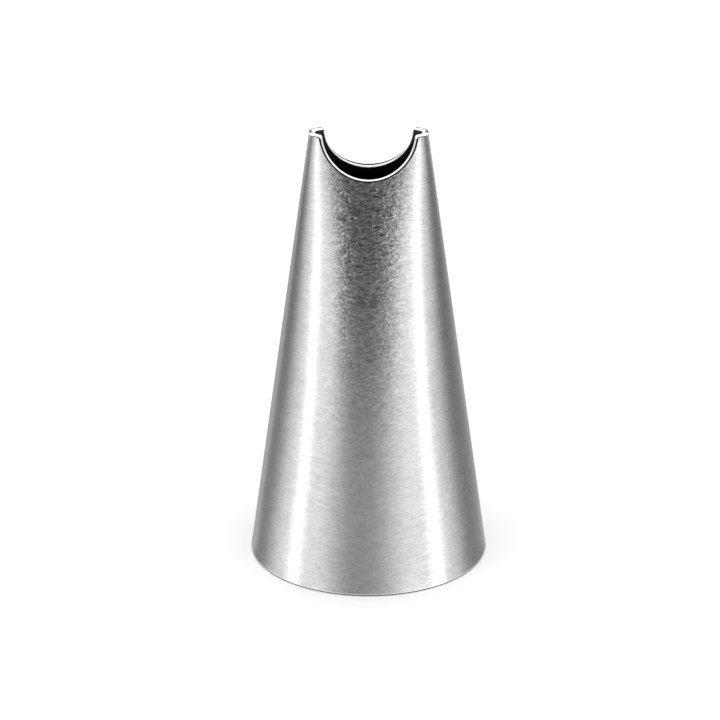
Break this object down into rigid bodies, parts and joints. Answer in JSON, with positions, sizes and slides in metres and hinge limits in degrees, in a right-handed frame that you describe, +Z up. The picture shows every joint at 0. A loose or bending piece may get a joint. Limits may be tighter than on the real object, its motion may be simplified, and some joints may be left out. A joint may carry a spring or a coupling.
{
  "type": "piping nozzle",
  "caption": "Tapered steel piping nozzle: a thin shell with a round base that narrows to a flattened slot mouth, notched in a half circle between pointed horns.",
  "frame": {"origin": "centre of the round base, in the plane that the nozzle stands on", "axes": "+Z up from the base towards the mouth, X along the mouth's slot from horn to horn, -Y towards the front, the way that the notch is seen through in the picture"},
  "size_m": [0.0174, 0.0174, 0.0338],
  "materials": {
    "brushed_shell": "fine brushing that runs level round the shell, with bright cut edges"
  },
  "bodies": {
    "root": {"nozzle_shell": "brushed_shell"}
  },
  "joints": []
}
